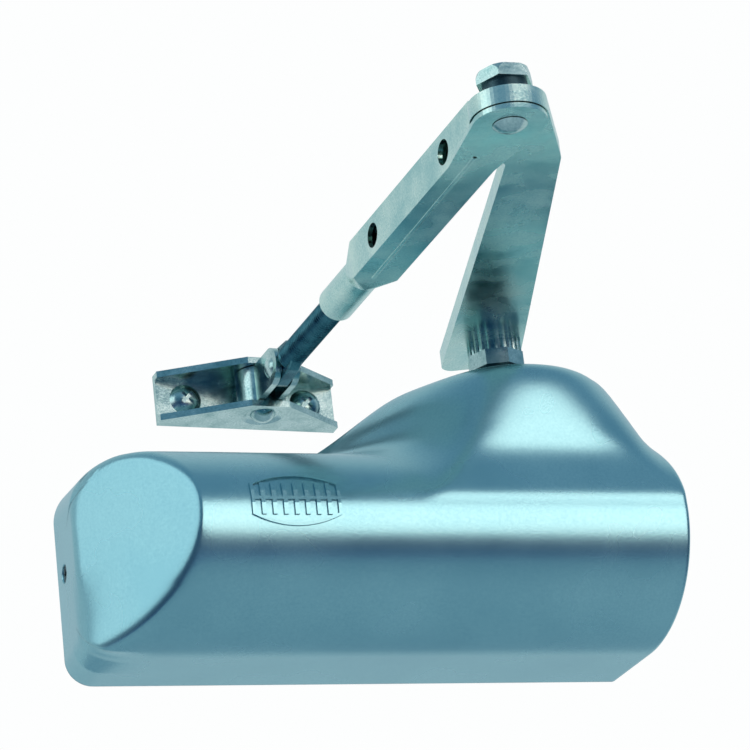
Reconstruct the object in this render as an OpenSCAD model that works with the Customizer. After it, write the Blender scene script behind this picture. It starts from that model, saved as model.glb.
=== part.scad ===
// Surface-mounted door closer: rack-and-pinion body under a full cover, with a two-piece
// folding arm and a swivelling shoe.
// X runs along the body, +Y points into the door, +Z is up. The origin is the centre of
// the door-fixing holes, on the door face.

/* [Cover] */
// Length of the cover along its back edge
cover_l = 207; // [200:1:252]
// Height of the cover below the tower
cover_h = 77; // [76:1:94]
// Depth from the door face to the front of the nose
cover_d = 71; // [70:1:88]
// Wall of the cover
cover_wall = 2.5; // [2:0.1:3.2]
// Height of the front-most line above the bottom edge
nose_h = 41.3; // [34:0.1:48]
// Depth at which the curve of the front starts to be drawn from
top_flat = 16.7; // [8:0.1:30]
// Fall of the top towards the room, in degrees
top_fall = 8; // [4:0.5:12]
// Depth of the flat part of the underside
bottom_flat = 29; // [15:0.1:36]
// Depth at which the slanting left facet starts
facet_start = 27.3; // [20:0.1:36]
// Run of the left facet along the body for each millimetre of depth
facet_run = 0.79; // [0.5:0.01:0.8]
// Outward lean of the right end for each millimetre of depth
end_lean = 0.11; // [0:0.01:0.2]
// Radius of the left end's top corner
top_corner_r = 16; // [10:0.5:18]
// Radius of the left end's bottom corner
bottom_corner_r = 9.5; // [4:0.5:12]

/* [Tower] */
// Height of the tower above the top of the cover
tower_rise = 23; // [20:0.5:30]
// Radius of the tower's round top
tower_r = 38; // [34:0.5:40]
// Reach of the ramp at the tower's left, from the spindle to its foot
ramp_reach = 114; // [100:1:125]
// Reach of the flat top to the left of the spindle
shelf_reach = 45; // [42:1:52]
// Depth of the front edge of that flat top
shelf_depth = 37; // [30:1:44]
// Reach of the tower's front left corner from the spindle
flank_reach = 46; // [40:1:54]
// Height of the tower's foot above the middle of the cover
foot_z = 11.5; // [8:0.5:16]
// Radius of the tower's lower corners
corner_r = 10; // [6:0.5:14]
// Radius of the hole that the spindle comes out of
spindle_hole_r = 12.5; // [12:0.1:15]

/* [Badge] */
// Width of the plain shield on the front
badge_w = 32; // [24:1:38]
// Height of the shield in its middle
badge_h = 20; // [15:1:24]
// How far the shield stands out
badge_t = 0.9; // [0.5:0.1:1.5]
// Place of the shield's middle along the body
badge_x = -34.8; // [-45:0.1:-25]
// Height of the shield's middle
badge_z = 4.7; // [0:0.1:8]

/* [Mounting plate] */
// Thickness of the plate
plate_t = 5; // [4:0.5:6]
// Height of the plate
plate_h = 64; // [60:1:68]
// Distance between the door-fixing holes along the body
fix_x = 162; // [150:1:170]
// Distance between the door-fixing holes up and down
fix_z = 19; // [16:1:24]
// Radius of the door-fixing holes
fix_r = 3.25; // [2.5:0.05:3.5]

/* [Body casting] */
// Radius of the piston bore
bore_r = 17.5; // [16:0.1:18.5]
// Wall round the piston bore
bore_wall = 4; // [3.5:0.1:5]
// Distance of the bore and spindle axes from the door face
axis_d = 31; // [30:0.5:34]
// Distance from the spindle to the right end of the cover
spindle_from_end = 43; // [42:0.5:50]
// Distance from the spindle to the left end of the casting
casting_left = 133.5; // [125:0.5:136]
// Distance from the spindle to the right end of the casting
casting_right = 36.5; // [35:0.5:38]
// Thickness of the casting's fixing flange
flange_t = 8; // [6:0.5:9]

/* [Spindle and rack] */
// Radius of the spindle
spindle_r = 8; // [8:0.1:9]
// Tooth size (module) of the pinion and rack
tooth_m = 1; // [1:0.05:1.1]
// Number of teeth on the pinion
teeth = 14; // [12:1:14]
// Play between the teeth
backlash = 0.16; // [0.1:0.02:0.3]
// Across the flats of the square that drives the arm
square_af = 11; // [9:0.1:12]
// Clearance round turning and sliding pins
run_gap = 0.05; // [0.03:0.01:0.08]
// Length of the piston's head
piston_head = 26; // [22:1:30]
// Turn of the spindle from its rest to its stop
spindle_turn = 130; // [110:5:140]

/* [Spring] */
// Wire diameter of the closing spring
wire_d = 5; // [4:0.1:5.5]
// Outer diameter of the closing spring
spring_d = 31; // [28:0.1:32]
// Number of turns
spring_turns = 8; // [6:1:9]

/* [Main arm] */
// Length of the main arm from spindle to elbow
arm_len = 184; // [175:1:221]
// Direction of the main arm, turned left from straight out of the door
arm_turn = 16.7; // [10:0.1:25]
// Thickness of the main arm
arm_t = 6.2; // [5:0.1:8]
// Gap between the top of the tower and the underside of the main arm
arm_gap = 21; // [20:0.5:28]
// Half width of the main arm at the spindle
arm_w1 = 14.6; // [13:0.1:16]
// Half width of the main arm at its bend
arm_w2 = 9.2; // [8:0.1:11]
// Offset of the main arm's wide end to the left of the spindle
heel_off = 4.5; // [0:0.1:6]
// Radius of the main arm's round end
arm_end_r = 13; // [12.5:0.1:14]
// Place of the bend along the arm, measured back from the elbow
bend_back = 32.4; // [28:0.1:38]
// Offset of the bend to the right of the line from spindle to elbow
bend_off = 9.2; // [0:0.1:11]

/* [Elbow] */
// Radius of the elbow pin
elbow_pin_r = 4; // [3.5:0.1:5]
// Radius of the domed head of the elbow pin
elbow_head_r = 5.8; // [5.5:0.1:7.5]
// Across the flats of the elbow nut
elbow_nut_af = 17; // [16:0.5:20]

/* [Forearm] */
// Distance from the elbow to the shoe pin
forearm_len = 235.5; // [225:0.5:282]
// Turn of the forearm to the left of square to the door
forearm_turn = 5; // [3:0.1:10]
// Width of the folded channel
channel_w = 16.5; // [15:0.1:18]
// Height of the folded channel
channel_h = 14; // [13.6:0.1:16]
// Sheet thickness of the channel
sheet_t = 1.7; // [1.4:0.1:1.9]
// Length of the channel from the elbow
channel_l = 119; // [105:1:124]
// Length of the round neck that grips the rod
neck_l = 26; // [20:1:30]
// Outer diameter of the neck
neck_d = 13.4; // [13:0.1:14.5]
// Diameter of the threaded rod
rod_d = 10; // [9:0.1:10.2]
// Radius of the tooling holes in the channel's sides
side_hole_r = 4.4; // [3.5:0.1:4.6]

/* [Shoe] */
// Width of the shoe
shoe_w = 71; // [66:1:86]
// Height of the shoe
shoe_h = 20; // [19:0.5:24]
// Sheet thickness of the shoe
shoe_t = 2.5; // [2:0.1:3]
// Depth of the shoe at its middle
shoe_deep = 22.5; // [22:0.5:26]
// Depth of the shoe at its ends
shoe_shallow = 5.2; // [4:0.1:7]
// Turn of the shoe on its pin, seen from above
shoe_turn = 4; // [-30:1:30]
// Distance between the shoe's screws
shoe_fix = 48; // [44:1:56]
// Radius of the vertical shoe pin
shoe_pin_r = 4; // [3.5:0.1:4.5]
// Length of the shoe's wood screws behind the shoe
screw_len = 22; // [15:1:30]

/* [Hidden] */
eps = 0.01;
far = 400;                       // past everything, for cuts
round_fn = 96;                   // round pieces
hull_fn = 32;                    // round corners inside a hull
arc_step = 7.5;                  // degrees between points of the cover's curves

paint = "#7fb0c4";
zinc = "#9fc2c0";
dark_steel = "#5a646c";
cast_grey = "#a6abae";
bronze = "#b08d57";
seal_black = "#26282a";

half_l = cover_l / 2;
half_h = cover_h / 2;

spindle_x = half_l - spindle_from_end;
tower_z = half_h + tower_rise;
seat_gap = 0.3;                  // between faces that turn on each other
assembly_gap = 0.3;              // between the cover and what it covers

shoulder = 37.5;                 // where the top's slope meets the front's curve
top_middle = nose_h + (cover_h - nose_h) * cos(shoulder) - half_h
    + (top_flat + (cover_d - top_flat) * sin(shoulder)) * tan(top_fall);

// Cover screws
cover_screw_r = 2;
cover_screw_d = 10;              // distance from the door face
cover_screw_head_r = 3.4;
cover_screw_sink = 0.5;          // of the head below the cover's surface
tab_t = 2.5;
tab_h = 16;

// Body casting and its screws
casting_r = bore_r + bore_wall;
casting_x0 = spindle_x - casting_left;
casting_x1 = spindle_x + casting_right;
flange_h = plate_h - 2;
body_screw_r = 3;
body_screw_inset = 11;           // from the casting's ends and the flange's edges
body_screw_edge = 5.4;
housing_r = 17;
housing_z0 = -half_h + cover_wall + 4.5;
housing_z1 = tower_z - 15.5;
bearing_r = 11;
ring_r = 12.5;
bush_z = bore_r + 0.6;
bush_l = 10;
seal_t = 5;

// End caps, spring and adjuster
cap_l = 10;
cap_gap = 0.1;
cap_flange_t = 2.5;
right_flange_t = 1;
ring_tube = 1.2;                 // radius of the sealing rings
adjuster_r = 4;
adjuster_travel = 6;
seat_t = 5;
seat_from_cap = 1;
right_cap_l = 8;
valve_r = 2.5;
valve_z = 9;
valve_l = 7;

// Rack and pinion
pitch_r = tooth_m * teeth / 2;
tooth_pitch = PI * tooth_m;
pressure_angle = 25;
base_r = pitch_r * cos(pressure_angle);
addendum = 0.95 * tooth_m;
dedendum = 1.25 * tooth_m;
tip_r = pitch_r + addendum;
root_r = pitch_r - dedendum;
travel = pitch_r * spindle_turn * PI / 180;
stop_gap = 0.5;                  // between the piston and the right cap at rest
piston_gap = 0.05;
piston_r = bore_r - piston_gap;
head_x1 = spindle_x - tip_r - 1;
head_x0 = head_x1 - piston_head;
rack_x1 = max(casting_x1 - right_cap_l - stop_gap, spindle_x + travel + 2.2 * tooth_pitch);
rack_flat = pitch_r - addendum;  // distance of the rack's tips from the spindle axis
pinion_half = bore_r - 0.5;
seat_x0 = casting_x0 + cap_l + seat_from_cap;
spring_x0 = seat_x0 + seat_t;

// Main arm heights
arm_z = tower_z + arm_gap;
arm_top = arm_z + arm_t;
hub_z = arm_z - 11.5;
arm_back = 21;                   // reach of the arm behind the spindle
arm_corner_r = 5;
bend_u = arm_len - bend_back;

// Elbow heights
elbow_x = spindle_x - arm_len * sin(arm_turn);
elbow_y = -axis_d - arm_len * cos(arm_turn);
lug_t = sheet_t;
lug_top = arm_z - seat_gap;
lug_z = lug_top - lug_t;
elbow_spacer_t = 5.8;
elbow_nut_t = 4.4;
arm_clear = 0.8;                 // between the main arm and the channel's cut-away end

// Forearm
rod_r = rod_d / 2;
rod_z = lug_z + channel_h / 2;
neck_u0 = channel_l + 10;
neck_u1 = neck_u0 + neck_l;
rod_u0 = channel_l - 18;         // inner end of the rod
tilt_back = 23;                  // distance between the tilt pin and the shoe pin
tilt_u = forearm_len - tilt_back;
tongue_t = 4.6;
tongue_r = 7;
ear_t = 2.4;
ear_gap = 0.2;
ear_r = 7.2;
rod_pin_r = 2.5;
barrel_r = 9.2;

// Shoe
shoe_x = elbow_x - forearm_len * sin(forearm_turn);
shoe_y = elbow_y + forearm_len * cos(forearm_turn);
shoe_offset = -2.6;              // middle of the shoe beside its pin
shoe_back = 12.6;                // from the pin to the shoe's back face
shoe_apex = 15;                  // width of the flange's deepest part
dish_r = 7.8;                    // dish round the shoe pin's head
dish_t = 1;
shoe_z0 = rod_z - shoe_h / 2;
barrel_h = shoe_h - 2 * shoe_t - 2 * seat_gap;
shoe_head_r = 6.2;
shoe_neck_r = 2.8;
shoe_screw_r = 2.5;

function arc(cx, cy, a, b, from, to) =
    [for (t = [from : arc_step : to]) [cx + a * sin(t), cy + b * cos(t)]];

// Section of the cover: sloping top, rounded nose and flat underside. x is -depth here.
module cover_section(inset, back) {
    upper_a = cover_d - inset - top_flat;
    upper_b = cover_h - inset - nose_h;
    lower_a = cover_d - inset - bottom_flat;
    lower_b = nose_h - inset;
    first = arc(top_flat, nose_h, upper_a, upper_b, shoulder, shoulder)[0];
    outline = concat([[-back, first[1] + (first[0] + back) * tan(top_fall)]],
        arc(top_flat, nose_h, upper_a, upper_b, shoulder, 90),
        arc(bottom_flat, nose_h, lower_a, lower_b, 90 + arc_step, 180),
        [[-back, inset]]);
    polygon([for (p = outline) [-p[0], p[1] - half_h]]);
}

// Plan of the cover with its slanting left facet and leaning right end
module cover_plan(inset, back) {
    deep = cover_d + 10;
    skew = inset * (sqrt(1 + facet_run * facet_run) - 1);
    facet_x = facet_run * (deep - facet_start);
    polygon([[-half_l + inset, back],
        [-half_l + inset, -facet_start + skew / facet_run],
        [-half_l + facet_x + inset + skew, -deep],
        [half_l - inset + end_lean * deep, -deep],
        [half_l - inset, back]]);
}

module cover_bar(inset, back) {
    translate([-half_l - 10, 0, 0])
        rotate([90, 0, 90])
            linear_extrude(cover_l + 40)
                cover_section(inset, back);
}

module post(x, y, z, r, t) {
    translate([x, y, z])
        cylinder(r = r, h = t, $fn = hull_fn);
}

// The tower is the hull of its round top and of its wide foot
module tower(inset, back) {
    edge = 3;
    small_r = 3 - inset;
    left_x = spindle_x - shelf_reach + 3;
    right_x = spindle_x + tower_r - 3;
    top = tower_z - inset;
    rear = back > 0 ? back : -3;
    hull() {
        for (step = [[0, -edge], [edge, 0]]) {
            translate([spindle_x, -axis_d, top + step[1] - eps])
                cylinder(r = tower_r - inset - step[0], h = eps, $fn = 2 * hull_fn);
            for (p = [[left_x, -shelf_depth + 3], [left_x, rear], [right_x, rear]])
                post(p[0] + (p[0] < spindle_x ? step[0] : -step[0]), p[1],
                    top + step[1] - eps, small_r, eps);
        }
        foot = foot_z - (inset > 0 ? 4 : 0);
        for (p = [[spindle_x - ramp_reach + 3, rear, small_r],
                [spindle_x - flank_reach + corner_r, -cover_d + 4 + corner_r, corner_r - inset],
                [half_l + 10 - corner_r, -cover_d + 4 + corner_r, corner_r - inset],
                [half_l + 10 - corner_r, rear, small_r]])
            post(p[0], p[1], foot, p[2], eps);
    }
}

// End view of the cover's left end with its rounded corners; side +1 is the top corner
module end_outline(inset, side) {
    r = (side > 0 ? top_corner_r : bottom_corner_r) - inset;
    x = -half_l + inset;
    tip = side > 0 ? far : -half_h + inset;
    mid = side > 0 ? top_middle * cos(top_fall) - inset - r : tip + r;
    corner = [for (t = [0 : arc_step : 90])
        [x + r - r * cos(t), mid + side * r * sin(t)]];
    polygon(concat([[x, side > 0 ? -far : far]], corner,
        side > 0 ? [[half_l + 30, mid + r]] : [[half_l + 30, tip]],
        [[half_l + 30, side > 0 ? -far : far]]));
}

// Everything inside the left end's rounded corners
module end_block(inset) {
    intersection() {
        translate([0, 60, 0]) rotate([90, 0, 0])
            linear_extrude(cover_d + 80) end_outline(inset, -1);
        union() {
            rotate([top_fall, 0, 0]) translate([0, 60, 0]) rotate([90, 0, 0])
                linear_extrude(cover_d + 80) end_outline(inset, 1);
            translate([-half_l + top_corner_r, -cover_d - 5, -half_h - 5])
                cube([cover_l + 20, cover_d + 70, far]);
        }
    }
}

module cover() {
    reach = 12;
    head_t = cover_screw_head_r - cover_screw_r;
    color(paint) difference() {
        intersection() {
            union() {
                cover_bar(0, 0);
                tower(0, 0);
            }
            translate([0, 0, -half_h - 1])
                linear_extrude(cover_h + tower_rise + 2)
                    cover_plan(0, 0);
            end_block(0);
        }
        intersection() {
            union() {
                cover_bar(cover_wall, reach);
                tower(cover_wall, reach);
            }
            translate([0, 0, -half_h - 1])
                linear_extrude(cover_h + tower_rise + 2)
                    cover_plan(cover_wall, reach);
            end_block(cover_wall);
        }
        translate([spindle_x, -axis_d, tower_z - 2 * cover_wall])
            cylinder(r = spindle_hole_r, h = 4 * cover_wall, $fn = round_fn);
        for (side = [-1, 1])
            at_cover_screw(side) {
                translate([0, 0, -2 * cover_wall])
                    cylinder(r = cover_screw_r + 0.2, h = 4 * cover_wall, $fn = round_fn);
                translate([0, 0, -cover_screw_sink - head_t])
                    cylinder(r1 = cover_screw_r + 0.2, r2 = cover_screw_head_r + 0.2,
                        h = head_t, $fn = round_fn);
                translate([0, 0, -cover_screw_sink - eps])
                    cylinder(r = cover_screw_head_r + 0.2, h = 4, $fn = round_fn);
            }
    }
}

// Frame of a cover screw, z out of the end wall. The right end leans out.
module at_cover_screw(side) {
    x = side > 0 ? half_l + end_lean * cover_screw_d : -half_l;
    translate([x, -cover_screw_d, 0]) rotate([0, side * 90, 0]) children();
}

// Lens-shaped shield with upright sides
module shield(shrink) {
    w = badge_w - 2 * shrink;
    h = badge_h - 2 * shrink;
    bow = 0.2 * badge_h;
    r = (badge_w * badge_w / 4 + bow * bow) / (2 * bow);
    intersection() {
        square([w, h], center = true);
        translate([0, h / 2 - r]) circle(r = r, $fn = 4 * round_fn);
        translate([0, r - h / 2]) circle(r = r, $fn = 4 * round_fn);
    }
}

module cover_badge() {
    rim = 1.1;
    ribs = 7;
    rib_w = 1.5;
    rib_pitch = (badge_w - 4 * rim) / ribs;
    rib_h = badge_h - 8;
    color(paint) difference() {
        intersection() {
            cover_bar(-badge_t, 0);
            translate([badge_x, 0, badge_z]) rotate([90, 0, 0])
                linear_extrude(cover_d + 10) union() {
                    difference() {
                        shield(0);
                        shield(rim);
                    }
                    for (i = [0 : ribs - 1])
                        translate([(i - (ribs - 1) / 2) * rib_pitch, 0])
                            square([rib_w, rib_h], center = true);
                    square([badge_w - 2 * rim + eps, 1.2], center = true);
                }
        }
        cover_bar(0, 5);
    }
}

module cover_screws() {
    head_t = cover_screw_head_r - cover_screw_r;
    color(dark_steel) for (side = [-1, 1])
        at_cover_screw(side) translate([0, 0, -cover_screw_sink]) difference() {
            union() {
                translate([0, 0, -cover_wall - tab_t - 1])
                    cylinder(r = cover_screw_r, h = cover_wall + tab_t + 1 - head_t + eps,
                        $fn = round_fn);
                translate([0, 0, -head_t])
                    cylinder(r1 = cover_screw_r, r2 = cover_screw_head_r, h = head_t,
                        $fn = round_fn);
            }
            for (turn = [0, 90]) rotate([0, 0, turn])
                translate([-0.45, -1.9, -0.9]) cube([0.9, 3.8, 2]);
        }
}

module mounting_plate() {
    tab_x = half_l - cover_wall - assembly_gap;
    color(zinc) difference() {
        union() {
            translate([-tab_x, -plate_t, -plate_h / 2])
                cube([2 * tab_x, plate_t, plate_h]);
            for (side = [-1, 1])
                translate([side * (tab_x - tab_t / 2) - tab_t / 2,
                        -cover_screw_d - tab_h / 2, -tab_h / 2])
                    cube([tab_t, cover_screw_d + tab_h / 2 - plate_t / 2, tab_h]);
        }
        for (x = [-fix_x / 2, fix_x / 2], z = [-fix_z / 2, fix_z / 2])
            translate([x, eps, z]) rotate([90, 0, 0])
                cylinder(r = fix_r, h = plate_t + 1, $fn = round_fn);
        for (p = body_screw_places())
            translate([p[0], eps, p[1]]) rotate([90, 0, 0])
                cylinder(r = body_screw_r + 0.1, h = plate_t + 1, $fn = round_fn);
        for (side = [-1, 1])
            translate([side * tab_x, -cover_screw_d, 0]) rotate([0, 90, 0])
                cylinder(r = cover_screw_r + 0.1, h = 4 * tab_t, center = true, $fn = round_fn);
        // the plate stays clear of the cover's rounded corners
        difference() {
            translate([-half_l - 5, -60, -half_h]) cube([30, 70, cover_h]);
            end_block(cover_wall + assembly_gap);
        }
    }
}

function body_screw_places() =
    [for (x = [casting_x0 + body_screw_inset, casting_x1 - body_screw_edge],
            z = [-flange_h / 2 + body_screw_edge, flange_h / 2 - body_screw_edge]) [x, z]];

module bore_x(r, x0, x1) {
    translate([x0, -axis_d, 0]) rotate([0, 90, 0])
        cylinder(r = r, h = x1 - x0, $fn = round_fn);
}

module spindle_part(r, z0, z1) {
    translate([spindle_x, -axis_d, z0])
        cylinder(r = r, h = z1 - z0, $fn = round_fn);
}

module body_casting() {
    color(cast_grey) difference() {
        union() {
            bore_x(casting_r, casting_x0, casting_x1);
            spindle_part(housing_r, 0, housing_z1);
            spindle_part(housing_r - 3, housing_z0, 0);
            translate([casting_x0, -plate_t - flange_t, -flange_h / 2])
                cube([casting_x1 - casting_x0, flange_t, flange_h]);
            // web that joins the cylinder to its flange
            translate([casting_x0, -axis_d, -10])
                cube([casting_x1 - casting_x0, axis_d - plate_t - 1, 20]);
        }
        bore_x(bore_r, casting_x0 - 1, casting_x1 + 1);
        spindle_part(bearing_r, housing_z0 - 1, housing_z1 + 1);
        spindle_part(ring_r, bush_z + bush_l, housing_z1 + 1);
        for (p = body_screw_places())
            translate([p[0], 0, p[1]]) rotate([90, 0, 0])
                cylinder(r = body_screw_r + 0.3, h = 30, $fn = round_fn);
        translate([-far, -plate_t, -far])
            cube([2 * far, far, 2 * far]);
    }
}

module body_screws() {
    color(dark_steel) for (p = body_screw_places())
        translate([p[0], 0, p[1]]) rotate([90, 0, 0])
            difference() {
                union() {
                    translate([0, 0, 0.5])
                        cylinder(r = body_screw_r, h = plate_t + flange_t, $fn = round_fn);
                    translate([0, 0, plate_t + flange_t])
                        cylinder(r = 5, h = 4, $fn = round_fn);
                }
                translate([0, 0, plate_t + flange_t + 1.5])
                    cylinder(r = 2.9, h = 5, $fn = 6);
            }
}

module sealing_ring(x) {
    translate([x, -axis_d, 0]) rotate([0, 90, 0])
        rotate_extrude($fn = round_fn)
            translate([bore_r - ring_tube - piston_gap, 0])
                circle(r = ring_tube, $fn = 24);
}

module ring_groove(x) {
    translate([x - ring_tube - 0.1, -axis_d, 0]) rotate([0, 90, 0])
        difference() {
            cylinder(r = bore_r + 1, h = 2 * ring_tube + 0.2, $fn = round_fn);
            translate([0, 0, -1])
                cylinder(r = bore_r - 2 * ring_tube - 0.1, h = 2 * ring_tube + 3, $fn = round_fn);
        }
}

module end_cap_left() {
    color(cast_grey) difference() {
        union() {
            bore_x(bore_r - cap_gap, casting_x0 - 1, casting_x0 + cap_l);
            bore_x(casting_r, casting_x0 - cap_flange_t, casting_x0);
        }
        ring_groove(casting_x0 + cap_l / 2);
        bore_x(adjuster_r + run_gap, casting_x0 - 10, casting_x0 + cap_l + 5);
    }
}

module end_cap_right() {
    color(cast_grey) difference() {
        union() {
            bore_x(bore_r - cap_gap, casting_x1 - right_cap_l, casting_x1 + 1);
            bore_x(casting_r, casting_x1, casting_x1 + right_flange_t);
        }
        ring_groove(casting_x1 - right_cap_l / 2);
        for (side = [-1, 1])
            translate([casting_x1 + right_flange_t - valve_l, -axis_d, side * valve_z])
                rotate([0, 90, 0])
                    cylinder(r = valve_r + run_gap, h = valve_l + 1, $fn = round_fn);
    }
}

module end_cap_seals() {
    color(seal_black) {
        sealing_ring(casting_x0 + cap_l / 2);
        sealing_ring(casting_x1 - right_cap_l / 2);
    }
}

module adjuster_screw() {
    color(dark_steel) difference() {
        bore_x(adjuster_r, casting_x0 - cap_flange_t - adjuster_travel - 1,
            seat_x0 + seat_t + 2);
        translate([casting_x0 - cap_flange_t - adjuster_travel - 2, -axis_d, 0])
            rotate([0, 90, 0])
                cylinder(r = 2.9, h = 5, $fn = 6);
    }
}

module spring_seat() {
    color(dark_steel) difference() {
        union() {
            bore_x(bore_r - 1, seat_x0, seat_x0 + seat_t);
            bore_x(spring_d / 2 - wire_d - 1, seat_x0, seat_x0 + seat_t + 3);
        }
        bore_x(adjuster_r + run_gap, seat_x0 - 5, seat_x0 + seat_t + 10);
    }
}

// Coil of round wire: rings of points carried along a helix and skinned
module closing_spring() {
    sides = 8;
    steps_per_turn = 20;
    coil_r = (spring_d - wire_d) / 2;
    wire_r = wire_d / 2;
    first = spring_x0 + wire_r + 0.1;
    last = head_x0 - wire_r - 0.1;
    n = spring_turns * steps_per_turn;
    rise = (last - first) / n;
    points = [for (i = [0 : n], j = [0 : sides - 1])
        let (turn = 360 * i / steps_per_turn, a = 360 * j / sides,
            r = coil_r + wire_r * cos(a))
        [first + rise * i + wire_r * sin(a), -axis_d + r * cos(turn), r * sin(turn)]];
    skin = [for (i = [0 : n - 1], j = [0 : sides - 1])
        let (k = (j + 1) % sides)
        [i * sides + j, i * sides + k, (i + 1) * sides + k, (i + 1) * sides + j]];
    ends = [[for (j = [0 : sides - 1]) sides - 1 - j],
        [for (j = [0 : sides - 1]) n * sides + j]];
    color(dark_steel) polyhedron(points = points, faces = concat(skin, ends), convexity = 10);
}

// Gap between two rack teeth, wide at the tips and narrow at the root
module rack_gap(x) {
    lean = tan(pressure_angle);
    mid = (tooth_pitch + backlash) / 4;
    tip = mid + lean * (addendum + 1);
    root = mid - lean * dedendum;
    translate([x, -axis_d - pitch_r, -bore_r - 1])
        linear_extrude(2 * bore_r + 2)
            polygon([[-tip, addendum + 1], [-root, -dedendum], [root, -dedendum],
                [tip, addendum + 1]]);
}

module piston() {
    gaps = ceil((rack_x1 - spindle_x) / tooth_pitch);
    color(dark_steel) difference() {
        bore_x(piston_r, head_x0, rack_x1);
        translate([head_x1, -axis_d - rack_flat, -bore_r - 1])
            cube([far, far, 2 * bore_r + 2]);
        for (i = [-gaps : gaps])
            if (spindle_x + i * tooth_pitch - tooth_pitch > head_x1)
                rack_gap(spindle_x + i * tooth_pitch);
        // groove of the piston ring and the oil passage with its ball seat
        translate([head_x0 + 4, -axis_d, 0]) rotate([0, 90, 0]) difference() {
            cylinder(r = bore_r + 1, h = 3.2, $fn = round_fn);
            translate([0, 0, -1]) cylinder(r = bore_r - 3, h = 6, $fn = round_fn);
        }
        translate([head_x0 - 1, -axis_d + 8, 0]) rotate([0, 90, 0])
            cylinder(r = 1.4, h = piston_head + 2, $fn = round_fn);
        translate([head_x1 - 8, -axis_d + 8, 0]) rotate([0, 90, 0])
            cylinder(r = 2.6, h = 9, $fn = round_fn);
    }
}

module piston_ring() {
    color(seal_black) translate([head_x0 + 4.1, -axis_d, 0]) rotate([0, 90, 0])
        difference() {
            cylinder(r = piston_r, h = 3, $fn = round_fn);
            translate([0, 0, -1]) cylinder(r = bore_r - 2.9, h = 5, $fn = round_fn);
        }
}

module check_ball() {
    color(zinc) translate([head_x1 - 5, -axis_d + 8, 0]) sphere(r = 2.5, $fn = 32);
}

// Involute flank: half the angle of a tooth at radius r, in degrees
function inv_angle(r) = let (a = acos(min(1, base_r / r))) tan(a) * 180 / PI - a;
function half_tooth(r) = (tooth_pitch / 2 - backlash / 2) / (2 * pitch_r) * 180 / PI
    + inv_angle(pitch_r) - inv_angle(r);

module pinion_teeth(h) {
    radii = [root_r, base_r, (base_r + pitch_r) / 2, pitch_r, (pitch_r + tip_r) / 2, tip_r];
    n = len(radii);
    linear_extrude(h)
        polygon([for (k = [0 : teeth - 1], s = [0 : 2 * n - 1])
            let (i = s < n ? s : 2 * n - 1 - s,
                a = -90 + 360 * k / teeth + (s < n ? -1 : 1) * half_tooth(radii[i]))
            radii[i] * [cos(a), sin(a)]]);
}

module pinion() {
    top = arm_top - 1;
    color(zinc) difference() {
        union() {
            translate([spindle_x, -axis_d, -pinion_half]) pinion_teeth(2 * pinion_half);
            spindle_part(spindle_r, pinion_half - eps, hub_z);
            spindle_part(spindle_r, -bush_z - bush_l + 1, -pinion_half + eps);
            translate([spindle_x, -axis_d, hub_z - eps]) rotate([0, 0, -90 - arm_turn])
                translate([-square_af / 2, -square_af / 2, 0])
                    cube([square_af, square_af, top - hub_z]);
        }
        spindle_part(3, top - 18, top + 1);
    }
}

module upper_bush() {
    color(bronze) difference() {
        spindle_part(bearing_r, bush_z, bush_z + bush_l);
        spindle_part(spindle_r + run_gap, bush_z - 1, bush_z + bush_l + 1);
    }
}

module lower_bush() {
    color(bronze) difference() {
        spindle_part(bearing_r, housing_z0 + 4, -bush_z);
        spindle_part(spindle_r + run_gap, housing_z0 - 1, -bush_z + 1);
    }
}

module spindle_seal() {
    z = bush_z + bush_l;
    color(seal_black) difference() {
        spindle_part(ring_r - 0.05, z, z + seal_t);
        spindle_part(spindle_r + run_gap, z - 1, z + seal_t + 1);
    }
}

module bearing_ring() {
    z = bush_z + bush_l + seal_t;
    color(zinc) difference() {
        union() {
            spindle_part(ring_r - 0.05, z, housing_z1);
            spindle_part(housing_r - 1, housing_z1, housing_z1 + 2.5);
        }
        spindle_part(spindle_r + 0.5, z - 1, housing_z1 + 5);
        for (turn = [0, 90, 180, 270])
            translate([spindle_x, -axis_d, housing_z1 + 1]) rotate([0, 0, turn])
                translate([housing_r - 4, -2, 0]) cube([6, 4, 5]);
    }
}

module lower_plug() {
    color(zinc) difference() {
        spindle_part(bearing_r - 0.05, housing_z0, housing_z0 + 4);
        translate([spindle_x, -axis_d, housing_z0 - 1])
            cylinder(r = 4, h = 3, $fn = 6);
    }
}

module valve(side) {
    x1 = casting_x1 + right_flange_t;
    translate([x1 - valve_l + 0.2, -axis_d, side * valve_z]) rotate([0, 90, 0])
        difference() {
            cylinder(r = valve_r, h = valve_l - 0.2, $fn = round_fn);
            translate([-0.5, -valve_r - 1, valve_l - 1.4])
                cube([1, 2 * valve_r + 2, 2]);
        }
}

module closing_valve() { color(bronze) valve(1); }
module latching_valve() { color(bronze) valve(-1); }

module at_arm() {
    translate([spindle_x, -axis_d, 0]) rotate([0, 0, -90 - arm_turn]) children();
}

// Outline of the main arm, grown by clear
module arm_outline(clear) {
    hull() {
        for (side = [-1, 1])
            translate([-arm_back + arm_corner_r, -heel_off + side * (arm_w1 - arm_corner_r)])
                circle(r = arm_corner_r + clear, $fn = hull_fn);
        translate([bend_u, bend_off]) circle(r = arm_w2 + clear, $fn = 2 * hull_fn);
    }
    hull() {
        translate([bend_u, bend_off]) circle(r = arm_w2 + clear, $fn = 2 * hull_fn);
        translate([arm_len, 0]) circle(r = arm_end_r + clear, $fn = 2 * hull_fn);
    }
}

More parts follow.
